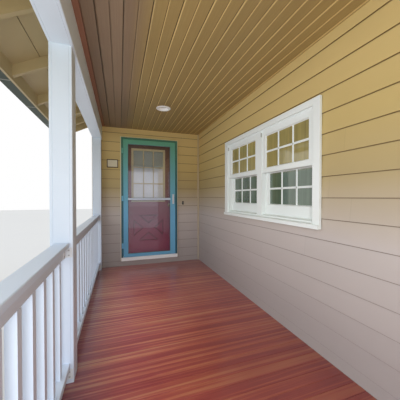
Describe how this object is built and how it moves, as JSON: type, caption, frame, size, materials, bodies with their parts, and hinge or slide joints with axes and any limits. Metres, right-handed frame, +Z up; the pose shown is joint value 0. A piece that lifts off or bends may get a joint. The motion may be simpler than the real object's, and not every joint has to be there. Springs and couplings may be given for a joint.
{
  "type": "front porch",
  "caption": "Covered walk in the corner of two lap-sided walls, with boxed posts, balusters, an open eave and gutter, a twin window and a storm door over a glazed entry door.",
  "frame": {"origin": "middle of the bounding box's base, on the ground", "axes": "+Z up, +Y along the walk towards the door wall, +X across the walk towards the house wall"},
  "size_m": [2.697, 5.48, 3.9313],
  "materials": {
    "concrete": "rough grey cast concrete",
    "deck_timber": "weathered sawn timber",
    "white_paint": "white satin paint on boards",
    "floor_boards": "glossy red-brown stain on narrow boards",
    "white_metal": "white enamel",
    "ceiling_boards": "brown satin stain on V-grooved boards",
    "eave_paint": "olive-tan paint on sawn timber",
    "shingles": "mineral-faced asphalt shingles",
    "gutter_metal": "dark grey-green enamel",
    "siding": "taupe satin paint on smooth lap boards, plain plaster indoors",
    "window_paint": "white satin paint",
    "window_glass": "clear, glossy",
    "cream_paint": "cream satin paint",
    "teal_paint": "teal satin enamel",
    "threshold_metal": "brushed",
    "door_glass": "clear, glossy",
    "handle_metal": "white enamel",
    "hinge_metal": "brushed",
    "burgundy_paint": "burgundy satin enamel",
    "knob_brass": "satin, a little worn"
  },
  "bodies": {
    "root": {"house_foundation": "concrete", "end_foundation": "concrete", "porch_piers": "concrete", "deck_joists": "deck_timber", "side_skirt": "white_paint", "end_skirt": "white_paint", "porch_floor": "floor_boards", "posts": "white_paint", "front_beam": "white_paint", "end_beam": "white_paint", "rail_caps": "white_paint", "top_rails": "white_paint", "balusters_far": "white_paint", "balusters_near": "white_paint", "bottom_plates": "white_paint", "bottom_rails": "white_paint", "rail_brackets": "white_metal", "porch_ceiling": "ceiling_boards", "ceiling_light": "white_metal", "rafters": "eave_paint", "rafter_blocks": "eave_paint", "roof_boards": "eave_paint", "roof_shingles": "shingles", "eave_fascia": "eave_paint", "rake_boards": "eave_paint", "gutter": "gutter_metal", "gable_infill": "siding", "house_wall_near": "siding", "house_wall_corner": "siding", "house_wall_under_window": "siding", "house_wall_over_window": "siding", "end_wall_left": "siding", "end_wall_right": "siding", "end_wall_over_door": "siding", "window_casing": "window_paint", "window_frame": "window_paint", "upper_sashes": "window_paint", "lower_sashes": "window_paint", "window_glass": "window_glass", "window_inside_trim": "window_paint", "door_casing": "cream_paint", "door_frame": "teal_paint", "door_sill": "threshold_metal", "door_riser": "siding", "door_inside_trim": "window_paint", "storm_hinge_pins": "hinge_metal", "entry_hinge_pins": "hinge_metal"},
    "storm_door": {"storm_door_frame": "teal_paint", "storm_door_glass": "door_glass", "storm_door_handle": "handle_metal", "storm_hinge_leaves": "hinge_metal"},
    "inner_door": {"entry_door": "burgundy_paint", "entry_lite_frame": "cream_paint", "entry_lite_glass": "door_glass", "entry_knobs": "knob_brass", "entry_hinge_leaves": "hinge_metal"}
  },
  "joints": [
    {"name": "storm_door_hinge", "type": "hinge", "parent": "root", "child": "storm_door", "pos_m": [-0.252, 2.4777, 1.467], "axis": [0, 0, -1], "range_deg": [0, 90]},
    {"name": "entry_door_hinge", "type": "hinge", "parent": "root", "child": "inner_door", "pos_m": [-0.252, 2.6843, 1.467], "axis": [0, 0, 1], "range_deg": [0, 90]}
  ]
}
